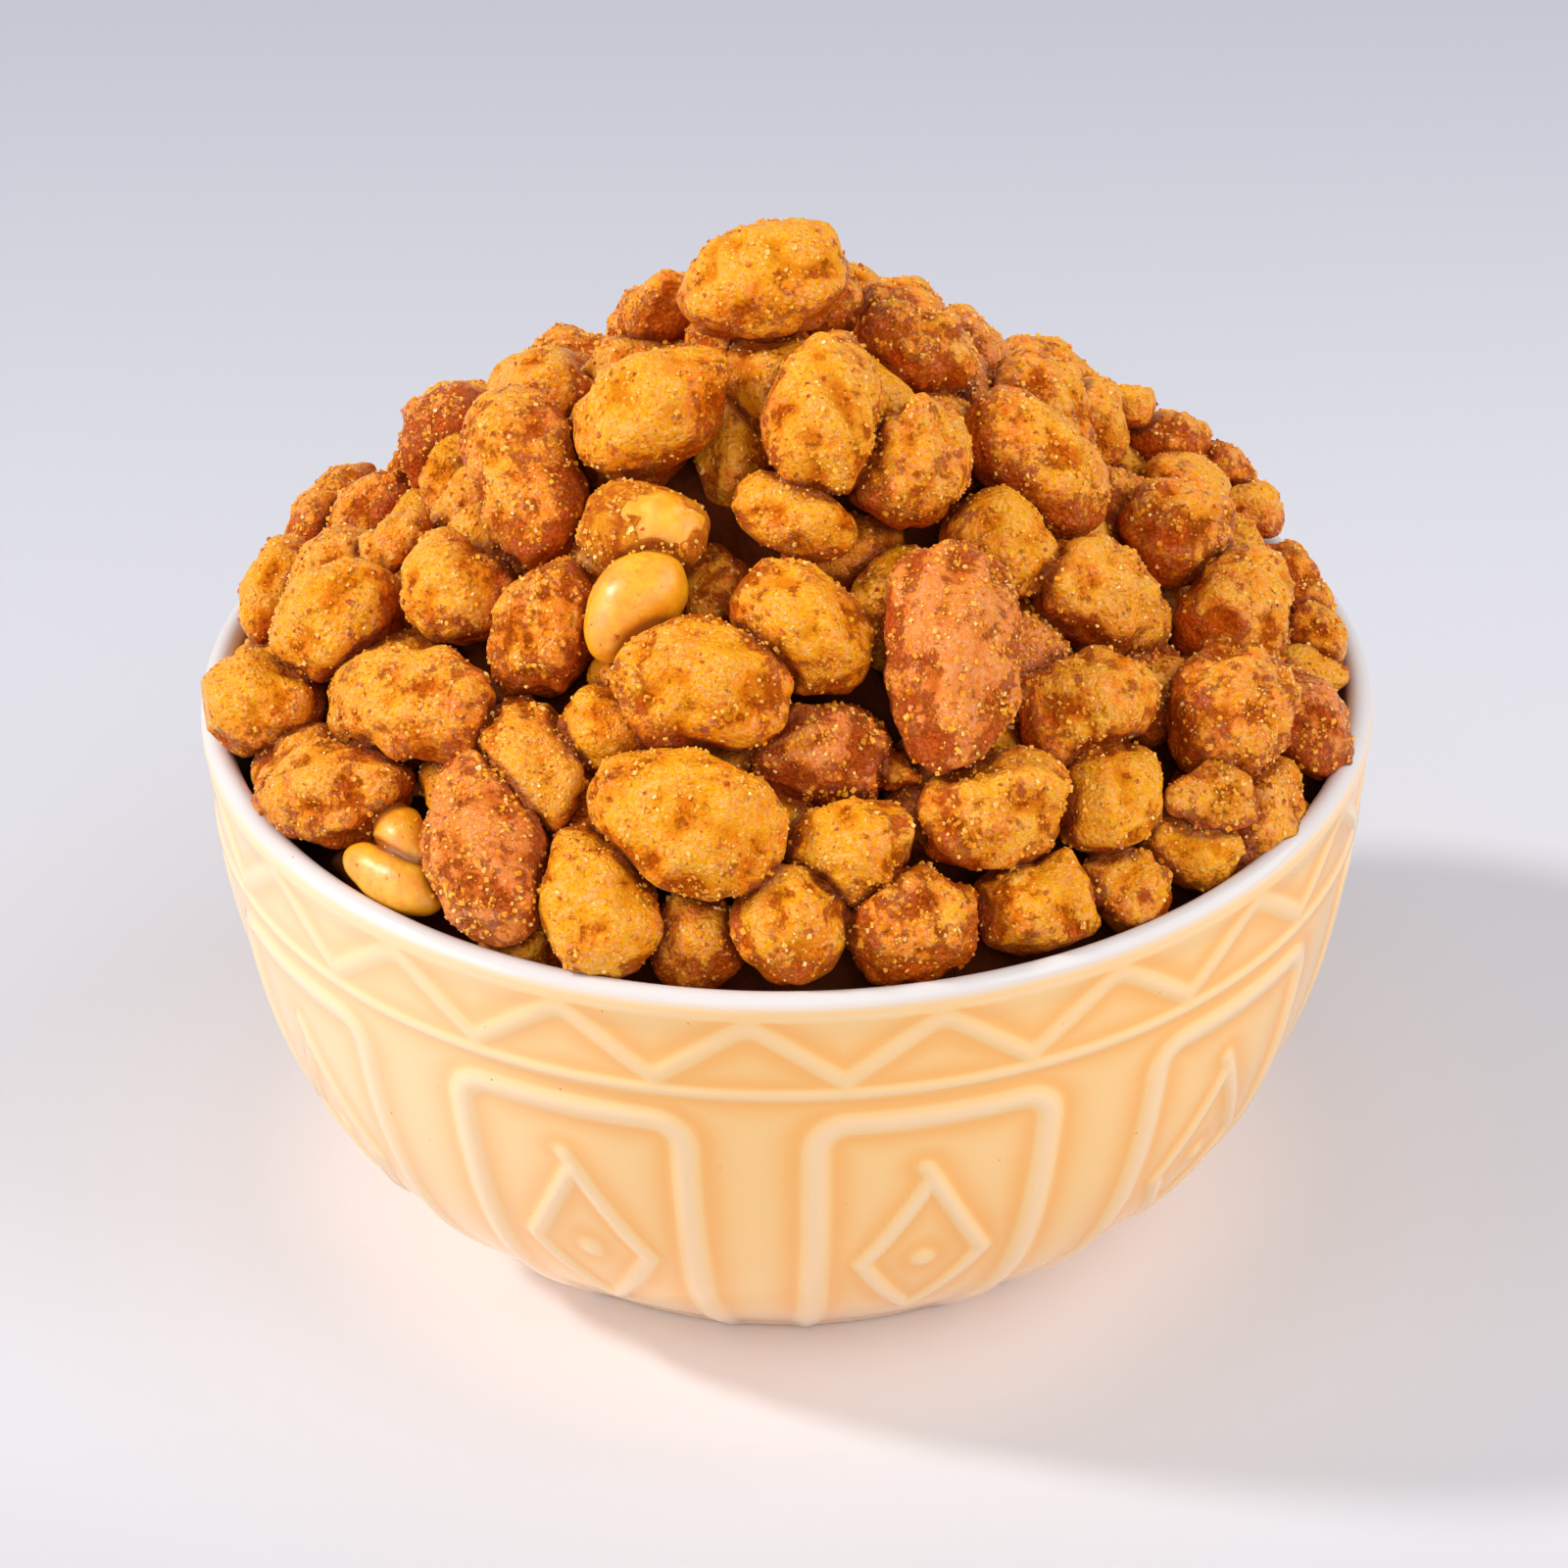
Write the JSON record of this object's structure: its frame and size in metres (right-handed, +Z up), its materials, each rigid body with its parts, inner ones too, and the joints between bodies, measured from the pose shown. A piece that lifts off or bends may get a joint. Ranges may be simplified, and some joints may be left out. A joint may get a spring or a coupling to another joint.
{
  "type": "bowl of coated peanuts",
  "caption": "Round glazed bowl with a moulded zigzag, panel and diamond relief, heaped high above its rim with spice-coated peanuts.",
  "frame": {"origin": "on the bowl's axis, on the surface that its foot stands on", "axes": "+Z up along the bowl's axis, -Y towards the front, +X to the right"},
  "size_m": [0.12, 0.12, 0.1091],
  "materials": {
    "glaze": "glossy glazed ceramic, amber over white, with a white lip and inside",
    "coating": "baked spice coating, golden to red-brown, dry and grainy"
  },
  "bodies": {
    "root": {"bowl": "glaze", "peanuts": "coating"}
  },
  "joints": []
}
